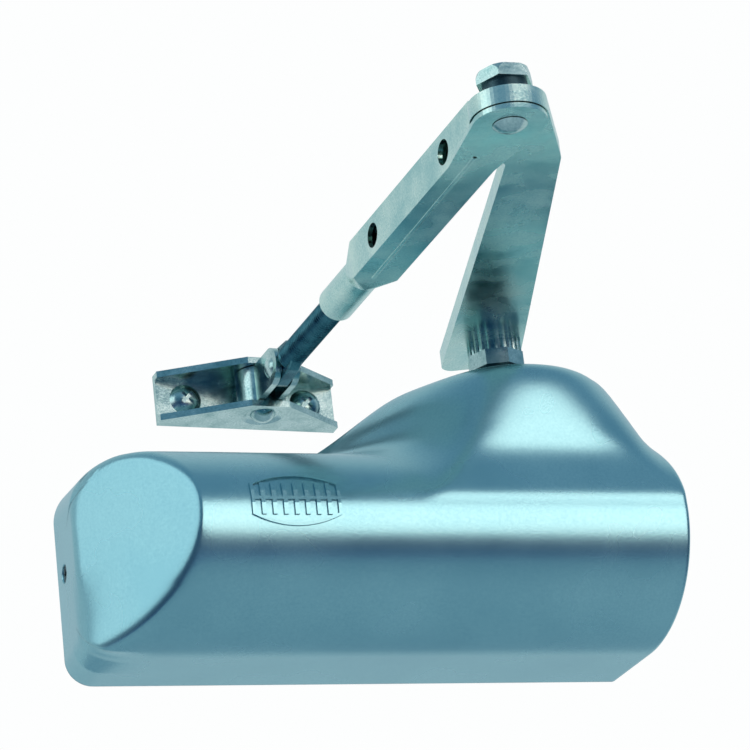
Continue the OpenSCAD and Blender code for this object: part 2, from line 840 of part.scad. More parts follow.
module arm_hub() {
    boss_r = 10;
    rib_r = 0.7;
    ribs = 24;
    octagon_h = 6;
    color(zinc) at_arm() difference() {
        union() {
            translate([0, 0, hub_z]) rotate([0, 0, 22.5])
                cylinder(r = boss_r / cos(22.5), h = octagon_h, $fn = 8);
            translate([0, 0, hub_z + octagon_h])
                cylinder(r = boss_r - rib_r, h = arm_z - hub_z - octagon_h, $fn = round_fn);
            for (i = [0 : ribs - 1]) rotate([0, 0, 360 * i / ribs])
                translate([boss_r - rib_r, 0, hub_z + octagon_h])
                    cylinder(r = rib_r, h = arm_z - hub_z - octagon_h, $fn = 6);
        }
        square_hole(hub_z - 1, arm_z + 1);
    }
}

module square_hole(z0, z1) {
    s = square_af + 0.1;
    translate([-s / 2, -s / 2, z0]) cube([s, s, z1 - z0]);
}

module main_arm() {
    color(zinc) at_arm() difference() {
        translate([0, 0, arm_z]) linear_extrude(arm_t) arm_outline(0);
        square_hole(arm_z - 1, arm_top + 1);
        translate([arm_len, 0, arm_z - 1])
            cylinder(r = elbow_pin_r, h = arm_t + 2, $fn = round_fn);
    }
}

module arm_washer() {
    color(zinc) difference() {
        spindle_part(9, arm_top, arm_top + 1.6);
        spindle_part(3.2, arm_top - 1, arm_top + 3);
    }
}

module arm_screw() {
    z = arm_top + 1.6;
    color(zinc) difference() {
        union() {
            spindle_part(2.95, z - 17, z + eps);
            translate([spindle_x, -axis_d, z]) cylinder(r = 13 / 2 / cos(30), h = 5, $fn = 6);
        }
        spindle_part(3, z + 4.4, z + 6);
    }
}

module at_elbow() {
    translate([elbow_x, elbow_y, 0]) children();
}

module dome(r, h) {
    ball = (r * r + h * h) / (2 * h);
    intersection() {
        translate([0, 0, h - ball]) sphere(r = ball, $fn = round_fn);
        cylinder(r = r, h = h + 1, $fn = round_fn);
    }
}

module elbow_pin() {
    head_h = 2.4;
    top = arm_top + elbow_spacer_t + elbow_nut_t + 1.8;
    color(zinc) at_elbow() {
        translate([0, 0, lug_z - 0.2]) mirror([0, 0, 1]) dome(elbow_head_r, head_h);
        translate([0, 0, lug_z - 0.2 - eps])
            cylinder(r = elbow_pin_r, h = arm_top - lug_z + 0.2 + eps, $fn = round_fn);
        translate([0, 0, arm_top - eps])
            cylinder(r = elbow_pin_r - 1, h = top - arm_top + eps, $fn = round_fn);
    }
}

module elbow_spacer() {
    color(dark_steel) at_elbow() difference() {
        translate([0, 0, arm_top])
            cylinder(r = 7.5, h = elbow_spacer_t, $fn = round_fn);
        translate([0, 0, arm_top - 1])
            cylinder(r = elbow_pin_r - 0.9, h = elbow_spacer_t + 2, $fn = round_fn);
    }
}

module elbow_nut() {
    z = arm_top + elbow_spacer_t;
    color(zinc) at_elbow() difference() {
        intersection() {
            translate([0, 0, z])
                cylinder(r = elbow_nut_af / 2 / cos(30), h = elbow_nut_t, $fn = 6);
            // rounded corners of the hexagon
            translate([0, 0, z - 1])
                cylinder(r1 = elbow_nut_af / 2 + 2.6, r2 = elbow_nut_af / 2 + 0.2,
                    h = elbow_nut_t + 1.4, $fn = round_fn);
        }
        translate([0, 0, z - 1])
            cylinder(r = elbow_pin_r - 0.95, h = elbow_nut_t + 2, $fn = round_fn);
    }
}

module at_forearm() {
    translate([elbow_x, elbow_y, 0]) rotate([0, 0, 90 + forearm_turn]) children();
}

module bar_u(r, u0, u1) {
    translate([u0, 0, rod_z]) rotate([0, 90, 0]) cylinder(r = r, h = u1 - u0, $fn = round_fn);
}

module forearm() {
    inner_w = channel_w - 2 * sheet_t;
    inner_h = channel_h - 2 * sheet_t;
    color(zinc) difference() {
        at_forearm() union() {
            // folded channel
            translate([0, -channel_w / 2, lug_z]) cube([channel_l, channel_w, channel_h]);
            // round lug under the main arm
            hull() {
                translate([0, 0, lug_z]) cylinder(r = arm_end_r - 0.5, h = lug_t, $fn = 2 * hull_fn);
                translate([bend_back - 4, -channel_w / 2, lug_z]) cube([4, channel_w, lug_t]);
            }
            hull() {
                translate([channel_l - 1, -channel_w / 2, lug_z])
                    cube([1, channel_w, channel_h]);
                translate([neck_u0 - 1, 0, rod_z]) rotate([0, 90, 0])
                    cylinder(r = neck_d / 2, h = 1, $fn = hull_fn);
            }
            bar_u(neck_d / 2, neck_u0 - 1, neck_u1);
        }
        at_forearm() {
            translate([-20, -inner_w / 2, lug_z + sheet_t])
                cube([channel_l + 18, inner_w, inner_h]);
            bar_u(rod_r + run_gap, 0, neck_u1 + 1);
            for (u = [35, 99])
                translate([u, 0, rod_z]) rotate([90, 0, 0])
                    cylinder(r = side_hole_r, h = channel_w + 4, center = true, $fn = round_fn);
            translate([0, 0, lug_z - 1])
                cylinder(r = elbow_pin_r + run_gap, h = lug_t + 2, $fn = round_fn);
            // room for the round end of the main arm as the forearm swings
            translate([0, 0, lug_top])
                cylinder(r = arm_end_r + arm_clear, h = channel_h, $fn = round_fn);
        }
        // room for the main arm beside the forearm
        at_arm() translate([0, 0, lug_top]) linear_extrude(channel_h) arm_outline(arm_clear);
    }
}

module adjuster_rod() {
    tongue_l = 13;
    color(dark_steel) at_forearm() difference() {
        union() {
            bar_u(rod_r, rod_u0, tilt_u - ear_r - 2.3);
            translate([tilt_u - tongue_l, 0, rod_z]) rotate([90, 0, 0])
                cylinder(r = tongue_r, h = tongue_t, center = true, $fn = round_fn);
            translate([tilt_u - tongue_l, -tongue_t / 2, rod_z - tongue_r])
                cube([tongue_l, tongue_t, 2 * tongue_r]);
            translate([tilt_u, 0, rod_z]) rotate([90, 0, 0])
                cylinder(r = tongue_r, h = tongue_t, center = true, $fn = round_fn);
        }
        translate([tilt_u, 0, rod_z]) rotate([90, 0, 0])
            cylinder(r = rod_pin_r + run_gap, h = tongue_t + 2, center = true, $fn = round_fn);
    }
}

module knuckle() {
    inner = tongue_t / 2 + ear_gap;
    ear_end = tilt_u + tongue_r + 1.5;
    color(zinc) at_forearm() difference() {
        union() {
            translate([forearm_len, 0, rod_z - barrel_h / 2])
                cylinder(r = barrel_r, h = barrel_h, $fn = round_fn);
            for (side = [-1, 1]) translate([0, side * (inner + ear_t / 2), 0]) {
                translate([tilt_u, 0, rod_z]) rotate([90, 0, 0])
                    cylinder(r = ear_r, h = ear_t, center = true, $fn = round_fn);
                translate([tilt_u, -ear_t / 2, rod_z - ear_r])
                    cube([tilt_back, ear_t, 2 * ear_r]);
            }
        }
        // room for the rod's flat end
        translate([tilt_u - 20, -inner, rod_z - 20])
            cube([ear_end - tilt_u + 20, 2 * inner, 40]);
        translate([tilt_u, 0, rod_z]) rotate([90, 0, 0])
            cylinder(r = rod_pin_r, h = 30, center = true, $fn = round_fn);
        translate([forearm_len, 0, rod_z - barrel_h])
            cylinder(r = shoe_pin_r + run_gap, h = 2 * barrel_h, $fn = round_fn);
    }
}

module rod_pin() {
    reach = tongue_t / 2 + ear_gap + ear_t;
    color(zinc) at_forearm() translate([tilt_u, 0, rod_z]) {
        rotate([90, 0, 0]) cylinder(r = rod_pin_r, h = 2 * reach + 1, center = true, $fn = round_fn);
        for (side = [-1, 1]) rotate([side * 90, 0, 0])
            translate([0, 0, reach]) dome(rod_pin_r + 1.5, 1.6);
    }
}

module at_shoe() {
    translate([shoe_x, shoe_y, 0]) rotate([0, 0, shoe_turn]) children();
}

// Plan of the shoe's flange: deep at the pin and shallow at the ends
module shoe_flange() {
    half = shoe_w / 2;
    apex = shoe_apex / 2;
    translate([shoe_offset, shoe_back])
        polygon([[-half, 0], [-half, -shoe_shallow], [-apex - shoe_offset, -shoe_deep],
            [apex - shoe_offset, -shoe_deep], [half, -shoe_shallow], [half, 0]]);
}

module shoe() {
    color(zinc) at_shoe() difference() {
        union() {
            for (z = [shoe_z0, shoe_z0 + shoe_h - shoe_t])
                translate([0, 0, z]) linear_extrude(shoe_t) shoe_flange();
            translate([shoe_offset - shoe_w / 2, shoe_back - shoe_t, shoe_z0])
                cube([shoe_w, shoe_t, shoe_h]);
        }
        translate([0, 0, shoe_z0 - 1])
            cylinder(r = shoe_pin_r, h = shoe_h + 2, $fn = round_fn);
        for (z = [shoe_z0 - eps, shoe_z0 + shoe_h + eps])
            translate([0, 0, z]) mirror([0, 0, z > rod_z ? 1 : 0])
                cylinder(r1 = dish_r, r2 = dish_r - 1.5, h = dish_t, $fn = round_fn);
        for (side = [-1, 1])
            translate([shoe_offset + side * shoe_fix / 2, shoe_back + 1, rod_z])
                rotate([90, 0, 0])
                    cylinder(r = shoe_neck_r + 0.3, h = shoe_t + 2, $fn = round_fn);
    }
}

module shoe_pin() {
    head_r = 4.9;
    head_h = 3.2;
    color(zinc) at_shoe() {
        translate([0, 0, shoe_z0]) cylinder(r = shoe_pin_r, h = shoe_h, $fn = round_fn);
        translate([0, 0, shoe_z0 + dish_t]) mirror([0, 0, 1]) dome(head_r, head_h);
        translate([0, 0, shoe_z0 + shoe_h - dish_t]) dome(head_r, head_h);
    }
}

module shoe_screws() {
    head_h = 3.4;
    point_l = 5;
    color(zinc) at_shoe() for (side = [-1, 1])
        translate([shoe_offset + side * shoe_fix / 2, shoe_back - shoe_t, rod_z])
            rotate([90, 0, 0]) difference() {
                union() {
                    dome(shoe_head_r, head_h);
                    translate([0, 0, -shoe_t])
                        cylinder(r = shoe_neck_r, h = shoe_t + eps, $fn = round_fn);
                    translate([0, 0, -shoe_t - screw_len + point_l])
                        cylinder(r = shoe_screw_r, h = screw_len - point_l + eps,
                            $fn = round_fn);
                    translate([0, 0, -shoe_t - screw_len])
                        cylinder(r1 = 0.3, r2 = shoe_screw_r, h = point_l, $fn = round_fn);
                }
                for (turn = [45, 135]) rotate([0, 0, turn])
                    translate([-0.7, -2.8, head_h - 1.8]) cube([1.4, 5.6, 3]);
            }
}

cover();
cover_badge();
cover_screws();
mounting_plate();
body_casting();
body_screws();
end_cap_left();
end_cap_right();
end_cap_seals();
adjuster_screw();
spring_seat();
closing_spring();
piston();
piston_ring();
check_ball();
pinion();
upper_bush();
lower_bush();
spindle_seal();
bearing_ring();
lower_plug();
closing_valve();
latching_valve();
arm_hub();
main_arm();
arm_washer();
arm_screw();
elbow_pin();
elbow_spacer();
elbow_nut();
forearm();
adjuster_rod();
knuckle();
rod_pin();
shoe();
shoe_pin();
shoe_screws();
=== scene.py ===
import bmesh
import bpy
import math
import numpy as np
from mathutils import Matrix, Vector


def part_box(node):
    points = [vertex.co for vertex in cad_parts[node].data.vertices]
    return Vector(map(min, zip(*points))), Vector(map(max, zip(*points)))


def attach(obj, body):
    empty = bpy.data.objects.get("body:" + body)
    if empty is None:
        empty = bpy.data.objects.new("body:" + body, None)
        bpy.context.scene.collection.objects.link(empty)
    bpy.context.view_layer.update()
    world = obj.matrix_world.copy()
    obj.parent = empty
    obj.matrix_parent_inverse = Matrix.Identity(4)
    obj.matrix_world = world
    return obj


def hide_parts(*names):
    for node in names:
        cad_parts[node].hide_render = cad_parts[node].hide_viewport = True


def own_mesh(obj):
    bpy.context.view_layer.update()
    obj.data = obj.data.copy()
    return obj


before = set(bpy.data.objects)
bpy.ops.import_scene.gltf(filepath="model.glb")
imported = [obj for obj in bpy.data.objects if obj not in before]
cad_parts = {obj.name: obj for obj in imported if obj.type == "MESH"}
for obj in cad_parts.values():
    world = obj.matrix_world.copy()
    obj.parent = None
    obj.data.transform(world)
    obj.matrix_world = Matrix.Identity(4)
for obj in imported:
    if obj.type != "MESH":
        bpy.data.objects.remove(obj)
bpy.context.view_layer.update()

# --- Cover -------------------------------------------------------------------------------------
# One pressed shell over the whole body, with a tower round the spindle and a slanting facet
# at its left end. Aluminium, sprayed with a fine silver metallic paint. A small screw through
# each end wall holds it to the mounting plate.
COVER_LENGTH = 207.0          # millimetres, as all the sizes here
COVER_HEIGHT = 77.0
COVER_DEPTH = 71.0
COVER_WALL = 2.2
NOSE_HEIGHT = 41.3
TOP_CENTRE, BOTTOM_CENTRE = 16.7, 29.0
SHOULDER_ANGLE, TOP_FALL = math.radians(37.5), math.radians(8.0)
FACET_START, FACET_RUN, END_LEAN = 27.3, 0.79, 0.11
TOP_CORNER, BOTTOM_CORNER = 16.0, 9.5
SPINDLE_X, SPINDLE_DEPTH = 60.5, 31.0
TOWER_TOP, TOWER_EDGE, TOWER_FOOT = 100.0, 97.0, 50.0
SPINDLE_HOLE, SCREW_HOLE = 12.5, 3.6
SCREW_DEPTH = 10.0


def ellipse_gap(x, y, a, b):
    """Distance outside an ellipse, nearly: q(q-1) over the length of (x/a², y/b²), with q the
    point's size in half axes."""
    q = np.sqrt((x / a) ** 2 + (y / b) ** 2) + 1e-9
    return q * (q - 1) / (np.sqrt((x / a ** 2) ** 2 + (y / b ** 2) ** 2) + 1e-9)


def soft_max(a, b, k):
    """The larger of a and b, rounded by up to k/4 where they are within k of each other."""
    h = np.clip(0.5 - 0.5 * (b - a) / k, 0, 1)
    return b + (a - b) * h + k * h * (1 - h)


def tower_gap(x, d, z):
    """Distance outside the tower: the furthest out of the upright planes that touch both the
    tower's top outline and its foot outline, in every direction round the front, and the top."""
    turn = np.linspace(0, math.pi, 145)
    c, s = np.cos(turn), np.sin(turn)

    def reach(discs):
        return np.max([c * px + s * pd + r for px, pd, r in discs], axis=0)

    top = reach([(SPINDLE_X, SPINDLE_DEPTH, 38.0), (18.5, 34.0, 3.0), (18.5, 3.0, 3.0),
                 (95.5, 3.0, 3.0)])
    foot = reach([(-50.5, 3.0, 3.0), (24.5, 57.0, 10.0), (103.5, 57.0, 10.0), (103.5, 3.0, 3.0)])
    slope = np.arctan((foot - top) / (TOWER_EDGE - TOWER_FOOT))
    normal = np.stack([np.cos(slope) * c, np.cos(slope) * s, np.sin(slope)])
    offset = np.cos(slope) * top + np.sin(slope) * TOWER_EDGE
    shape = np.shape(x)
    at = np.stack([np.ravel(x), np.ravel(d), np.ravel(z)], axis=1)
    side = np.max(at @ normal - offset, axis=1).reshape(shape)
    return soft_max(soft_max(side, z - TOWER_TOP, 3.0), TOWER_FOOT - z, 2.0)


def cover_gap(x, d, z):
    """How far a point is outside the cover: a D-shaped bar joined softly to the tower, cut by
    the rounded left end, by the facet and by the leaning right end. z is from the bottom."""
    front = np.where(
        z >= NOSE_HEIGHT,
        ellipse_gap(np.maximum(d - TOP_CENTRE, 0), z - NOSE_HEIGHT,
                    COVER_DEPTH - TOP_CENTRE, COVER_HEIGHT - NOSE_HEIGHT),
        ellipse_gap(np.maximum(d - BOTTOM_CENTRE, 0), z - NOSE_HEIGHT,
                    COVER_DEPTH - BOTTOM_CENTRE, NOSE_HEIGHT))
    shoulder_d = TOP_CENTRE + (COVER_DEPTH - TOP_CENTRE) * math.sin(SHOULDER_ANGLE)
    shoulder_z = NOSE_HEIGHT + (COVER_HEIGHT - NOSE_HEIGHT) * math.cos(SHOULDER_ANGLE)
    below_top = (shoulder_z + (shoulder_d - d) * math.tan(TOP_FALL) - z) * math.cos(TOP_FALL)
    along = x + COVER_LENGTH / 2

    def corner(across, radius):
        return np.hypot(np.maximum(radius - along, 0), np.maximum(radius - across, 0)) - radius

    bar = soft_max(front, corner(below_top, TOP_CORNER), 2.5)
    bar = np.maximum(bar, corner(z, BOTTOM_CORNER))
    body = -soft_max(-bar, -tower_gap(x, d, z), 8.0)
    facet = (FACET_RUN * (d - FACET_START) - along) / math.hypot(1, FACET_RUN)
    softness = 1.0 + 2.5 * np.clip((z - 50) / 20, 0, 1)
    right = (x - COVER_LENGTH / 2 - END_LEAN * d) / math.hypot(1, END_LEAN)
    return soft_max(soft_max(body, facet, softness), right, 2.5)


def settle(inside, outside, gap):
    """Halves the span between an inside and an outside distance until gap changes sign."""
    for _ in range(26):
        middle = (inside + outside) / 2
        within = gap(middle) < 0
        inside, outside = np.where(within, middle, inside), np.where(within, outside, middle)
    return (inside + outside) / 2


def add_mesh(name, points, faces, smooth=True):
    """A mesh object from an array of points in millimetres and an array of faces."""
    mesh = bpy.data.meshes.new(name)
    mesh.from_pydata((np.asarray(points) / 1000).tolist(), [], [list(f) for f in faces])
    mesh.validate()
    mesh.shade_smooth() if smooth else mesh.shade_flat()
    thing = bpy.data.objects.new(name, mesh)
    bpy.context.scene.collection.objects.link(thing)
    return thing


def grid_faces(rows, columns, start=0):
    """The four-sided faces of a grid of points laid out row by row."""
    i = np.arange((rows - 1) * (columns - 1))
    a = start + i // (columns - 1) * columns + i % (columns - 1)
    return np.stack([a, a + 1, a + columns + 1, a + columns], axis=1)


def cover_surface():
    """The cover's outer skin. Each ring lies in one slice across the bar, which leans with
    the facet at the left and with the end at the right. A slice's points are found along rays
    from the middle of the back edge, from straight down round the front to straight up. The
    end walls are filled with smaller copies of the end rings, found along the bar's length."""
    turn = np.radians(np.linspace(-90, 90, 181))
    ray_d, ray_z = np.cos(turn)[None, :], np.sin(turn)[None, :]
    ray_d[0, [0, -1]] = 0
    middle = 38.0
    half = COVER_LENGTH / 2
    near = np.array([0.35, 0.7, 1.1, 1.6, 2.2, 3.0, 4.0, 5.2, 6.6, 8.2, 10.0, 12.0, 14.2])
    slices = np.concatenate([-half + near, np.linspace(-half + 16, half - 8, 92),
                             half - near[8::-1]])[:, None]

    def place(s, d):
        left = np.clip((-20 - s) / (half - 20), 0, 1)
        right = np.clip((s - 20) / (half - 20), 0, 1)
        return s + left * FACET_RUN * np.maximum(d - FACET_START, 0) + right * END_LEAN * d

    def side(r):
        return cover_gap(place(slices, r * ray_d), r * ray_d, middle + r * ray_z)

    full = np.ones((len(slices), len(turn)))
    r = settle(0 * full, 150 * full, side)
    # the tower's folds are drawn soft: each ray there takes the mean of its neighbours'
    weight = np.exp(-0.5 * (np.arange(-8, 9) / 3.0) ** 2)
    weight /= weight.sum()
    soft = np.pad(r, 8, mode="edge")
    soft = sum(w * soft[i:len(soft) - 16 + i] for i, w in enumerate(weight))
    soft = sum(w * soft[:, i:soft.shape[1] - 16 + i] for i, w in enumerate(weight))
    share = np.clip((slices + 70) / 30, 0, 1) * np.clip((96 - slices) / 14, 0, 1) \
        * np.clip((turn[None, :] - 0.30) / 0.2, 0, 1)
    share *= np.clip((np.hypot(slices - SPINDLE_X, r * ray_d - SPINDLE_DEPTH) - 14) / 6, 0, 1)
    r = r + (soft - r) * share
    d, z = r * ray_d, middle + r * ray_z
    x = place(slices, d)
    part = np.linspace(0, 1, 58)[:-1, None]
    walls = []
    for ring, inner, outer in ((0, -40.0, -115.0), (-1, 60.0, 120.0)):
        wall_d, wall_z = part * d[ring], middle + part * (z[ring] - middle)
        lean = (lambda t, w=wall_d: t + FACET_RUN * np.maximum(w - FACET_START, 0)) if inner < 0 \
            else (lambda t, w=wall_d: t + END_LEAN * w)
        same = np.ones(wall_d.shape)
        t = settle(inner * same, outer * same,
                   lambda t: cover_gap(lean(t), wall_d, wall_z))
        walls.append(np.stack([lean(t), -wall_d, wall_z], axis=2))
    skin = np.stack([x, -d, z], axis=2)
    skin = np.concatenate([walls[0], skin, walls[1][::-1]])
    # the facet's edge fades away at the bottom: rings there take the mean of their neighbours
    weight = np.exp(-0.5 * (np.arange(-12, 13) / 5.0) ** 2)
    weight /= weight.sum()
    soft = np.pad(skin, ((12, 12), (0, 0), (0, 0)), mode="edge")
    soft = sum(w * soft[i:len(soft) - 24 + i] for i, w in enumerate(weight))
    share = np.clip((34 - skin[..., 2]) / 18, 0, 1) * np.clip((-14 - skin[..., 1]) / 10, 0, 1) \
        * np.clip((-50 - skin[..., 0]) / 15, 0, 1)
    skin = skin + (soft - skin) * share[..., None]
    skin[..., 2] -= COVER_HEIGHT / 2
    return skin


def drill(points, faces, centre, axes, radius, where):
    """Moves the points inside a round hole out to its edge, and drops the faces inside it."""
    flat = points[:, axes] - np.array(centre)
    far = np.hypot(flat[:, 0], flat[:, 1])
    inside = where & (far < radius)
    points[np.ix_(inside, axes)] = np.array(centre) + \
        flat[inside] / np.maximum(far[inside], 1e-6)[:, None] * radius
    return faces[~inside[faces].all(axis=1)]


skin = cover_surface()
rows, columns = skin.shape[:2]
points = skin.reshape(-1, 3)
faces = grid_faces(rows, columns)
faces = drill(points, faces, (SPINDLE_X, -SPINDLE_DEPTH), [0, 1], SPINDLE_HOLE,
              points[:, 2] > TOWER_TOP - COVER_HEIGHT / 2 - 1)
for end in (-1, 1):
    faces = drill(points, faces, (-SCREW_DEPTH, 0.0), [1, 2], SCREW_HOLE,
                  points[:, 0] * end > COVER_LENGTH / 2 - 0.5)
cover_shell = add_mesh("cover_shell", points, faces)
work = bmesh.new()
work.from_mesh(cover_shell.data)
bmesh.ops.remove_doubles(work, verts=work.verts, dist=1e-6)
bmesh.ops.dissolve_degenerate(work, edges=work.edges, dist=1e-7)
loose = [v for v in work.verts if not v.link_faces]
bmesh.ops.delete(work, geom=loose, context="VERTS")
bmesh.ops.recalc_face_normals(work, faces=work.faces)
middle_face = max(work.faces, key=lambda f: -f.calc_center_median().y)
if middle_face.normal.y > 0:
    bmesh.ops.reverse_faces(work, faces=work.faces)
work.to_mesh(cover_shell.data)
work.free()
wall = cover_shell.modifiers.new("wall", "SOLIDIFY")
wall.thickness = COVER_WALL / 1000
wall.offset = -1


def paint_colour(code):
    """Linear red, green, blue and alpha of an sRGB hex colour."""
    parts = [int(code[i:i + 2], 16) / 255 for i in (1, 3, 5)]
    return tuple(p / 12.92 if p <= 0.04045 else ((p + 0.055) / 1.055) ** 2.4
                 for p in parts) + (1.0,)


def add_node(material, kind, settings=None, **inputs):
    """A shader node with its settings and its inputs: a value, or a socket to link from."""
    node = material.node_tree.nodes.new(kind)
    for key, value in (settings or {}).items():
        setattr(node, key, value)
    for key, value in inputs.items():
        socket = node.inputs[key.replace("_", " ")] if key[0] != "i" else node.inputs[int(key[1:])]
        if isinstance(value, bpy.types.NodeSocket):
            material.node_tree.links.new(value, socket)
        else:
            socket.default_value = value
    return node


def finish_material(name, dark, light, metallic, rough, speck_mm, cloud_mm, bump_mm, **extra):
    """A finish whose colour drifts between dark and light in clouds, with a fine speck, and
    whose roughness and surface vary with them."""
    material = bpy.data.materials.new(name)
    material.use_nodes = True
    shader = material.node_tree.nodes["Principled BSDF"]
    link = material.node_tree.links.new
    place = add_node(material, "ShaderNodeTexCoord").outputs["Object"]
    cloud = add_node(material, "ShaderNodeTexNoise", Vector=place, Scale=1000 / cloud_mm,
                     Detail=3.0)
    speck = add_node(material, "ShaderNodeTexNoise", Vector=place, Scale=1000 / speck_mm,
                     Detail=2.0)
    both = add_node(material, "ShaderNodeMath", {"operation": "MULTIPLY_ADD"},
                    i0=cloud.outputs["Fac"], i1=0.65, i2=0.0)
    sum_node = add_node(material, "ShaderNodeMath", {"operation": "MULTIPLY_ADD"},
                        i0=speck.outputs["Fac"], i1=0.35, i2=both.outputs[0])
    spread = add_node(material, "ShaderNodeMapRange", Value=sum_node.outputs[0],
                      From_Min=0.36, From_Max=0.64)
    colour = add_node(material, "ShaderNodeMix", {"data_type": "RGBA"},
                      Factor=spread.outputs["Result"])
    colour.inputs[6].default_value = paint_colour(dark)
    colour.inputs[7].default_value = paint_colour(light)
    link(colour.outputs[2], shader.inputs["Base Color"])
    gloss = add_node(material, "ShaderNodeMapRange", Value=cloud.outputs["Fac"],
                     From_Min=0.3, From_Max=0.7, To_Min=rough[0], To_Max=rough[1])
    link(gloss.outputs["Result"], shader.inputs["Roughness"])
    bump = add_node(material, "ShaderNodeBump", Strength=0.6, Distance=bump_mm / 1000,
                    Height=speck.outputs["Fac"])
    link(bump.outputs["Normal"], shader.inputs["Normal"])
    shader.inputs["Metallic"].default_value = metallic
    for key, value in extra.items():
        shader.inputs[key.replace("_", " ")].default_value = value
    return material


silver_paint = finish_material("silver metallic paint", "#86b9c2", "#98c9cf", 0.85,
                               (0.24, 0.30), 0.9, 45.0, 0.035)
cover_shell.data.materials.append(silver_paint)
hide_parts("cover")
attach(cover_shell, "body")

# --- Badge -------------------------------------------------------------------------------------
# A raised lens-shaped outline with plain upright ribs, pressed out of the cover's front and
# under the same paint.


def soften(node, width_mm, segments=2, angle=30):
    """Rounds a piece's edges where they meet at more than the given angle."""
    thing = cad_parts[node]
    edge = thing.modifiers.new("edge", "BEVEL")
    edge.width = width_mm / 1000
    edge.segments = segments
    edge.limit_method = "ANGLE"
    edge.angle_limit = math.radians(angle)
    edge.harden_normals = False
    return thing


def coat(nodes, material):
    """Gives CAD pieces a material in all their slots."""
    for node in nodes:
        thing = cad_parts[node]
        if not thing.material_slots:
            thing.data.materials.append(material)
        for place in thing.material_slots:
            place.material = material


coat(["cover_badge"], silver_paint)
soften("cover_badge", 0.12, 1)

# --- Zinc-plated fastenings, hub and shoe ------------------------------------------------------
# The ribbed hub, the shoe, the knuckle, the pins and the screws. Steel with a bright zinc
# plate and a clear passivated film, which leaves a faint blue and yellow-green mottle.
bright_zinc = finish_material("bright zinc plate", "#8fb4b2", "#cfe6e0", 1.0,
                              (0.16, 0.30), 0.8, 9.0, 0.03)
coat(["arm_hub", "arm_washer", "arm_screw", "elbow_pin", "elbow_nut", "knuckle", "rod_pin",
      "shoe", "shoe_pin", "shoe_screws"], bright_zinc)
for node in ("shoe", "knuckle", "elbow_nut", "arm_screw"):
    soften(node, 0.35)
for node in ("arm_hub", "shoe_screws"):
    soften(node, 0.15, 1)

# --- Main arm and forearm ----------------------------------------------------------------------
# The main arm is cut from 6 mm steel strip, and the forearm is folded from sheet into a
# channel with a round neck. Both are barrel plated with zinc, which comes out cloudy.
arm_zinc = finish_material("clouded zinc plate", "#a3cfcb", "#def4e8", 1.0,
                           (0.16, 0.36), 0.7, 14.0, 0.04)
coat(["main_arm", "forearm"], arm_zinc)
soften("main_arm", 0.5)
soften("forearm", 0.4)

# --- Adjusting rod -----------------------------------------------------------------------------
# A threaded M10 steel rod, dark phosphated and oiled, with a flat end for the tilt pin.
dark_steel = finish_material("phosphated steel", "#2c4148", "#4d6a70", 0.9,
                             (0.30, 0.48), 0.4, 6.0, 0.03)
ROD_RADIUS, ROD_PITCH, THREAD_DEPTH = 4.95, 1.5, 0.85
ROD_START, ROD_SHOULDER, TILT_PIN = 101.0, 203.0, 212.5
ELBOW = np.array([7.6257, -207.2393])
FOREARM_TURN = math.radians(5.0)
ROD_HEIGHT = 87.5


def beside_forearm(u, v, z):
    """Points given along the forearm from the elbow, across it to the right and up."""
    c, s = math.cos(FOREARM_TURN), math.sin(FOREARM_TURN)
    return np.stack([ELBOW[0] - s * u + c * v, ELBOW[1] + c * u + s * v, z + 0 * u], axis=-1)


def threaded_bar():
    """A bar whose radius falls and rises once a pitch, in step with the angle, as a screw's
    does: radius less depth times the triangle wave of length over pitch minus turns."""
    u = np.linspace(ROD_START, ROD_SHOULDER, 612)[:, None]
    turn = np.linspace(0, 2 * math.pi, 41)[None, :-1]
    wave = np.abs((u / ROD_PITCH - turn / (2 * math.pi)) % 1 * 2 - 1)
    fade = np.clip((ROD_SHOULDER - u) / 2, 0, 1) * np.clip((u - ROD_START) / 2, 0, 1)
    radius = ROD_RADIUS - THREAD_DEPTH * wave * fade
    radius[[0, -1]] = 0.02
    return beside_forearm(u + 0 * turn, radius * np.cos(turn), ROD_HEIGHT + radius * np.sin(turn))


def tube_faces(rows, columns):
    """Faces of a tube given as rings of points, joined round each ring and closed at both
    ends with one many-sided face."""
    i = np.arange((rows - 1) * columns)
    a = i // columns * columns + i % columns
    b = i // columns * columns + (i % columns + 1) % columns
    sides = np.stack([a, a + columns, b + columns, b], axis=1).tolist()
    return sides + [list(range(columns)), list(range((rows - 1) * columns, rows * columns))[::-1]]


def close_up(thing):
    """Turns all the faces of a closed piece outward."""
    work = bmesh.new()
    work.from_mesh(thing.data)
    bmesh.ops.recalc_face_normals(work, faces=work.faces)
    work.to_mesh(thing.data)
    work.free()


bar = threaded_bar()
rod_thread = add_mesh("rod_thread", bar.reshape(-1, 3), tube_faces(*bar.shape[:2]))
close_up(rod_thread)


def flat_tongue():
    """The rod's flat end: a side outline that widens to a half circle round the tilt pin,
    drawn at six places across, the outer two drawn in a little for rounded edges."""
    arc = np.linspace(-math.pi / 2, math.pi / 2, 33)
    u = np.concatenate([[ROD_SHOULDER - 6, ROD_SHOULDER - 2], TILT_PIN + 7 * np.cos(arc),
                        [ROD_SHOULDER - 2, ROD_SHOULDER - 6]])
    z = np.concatenate([[-4.2, -6.0], 7 * np.sin(arc), [6.0, 4.2]])
    across = np.array([-2.3, -2.3, -1.9, 1.9, 2.3, 2.3])[:, None]
    draw = np.array([0.0, 0.94, 1.0, 1.0, 0.94, 0.0])[:, None]
    middle = TILT_PIN - 6
    draw[[0, -1]] = 0.02
    return beside_forearm(middle + (u - middle) * draw, across + 0 * u, ROD_HEIGHT + z * draw)


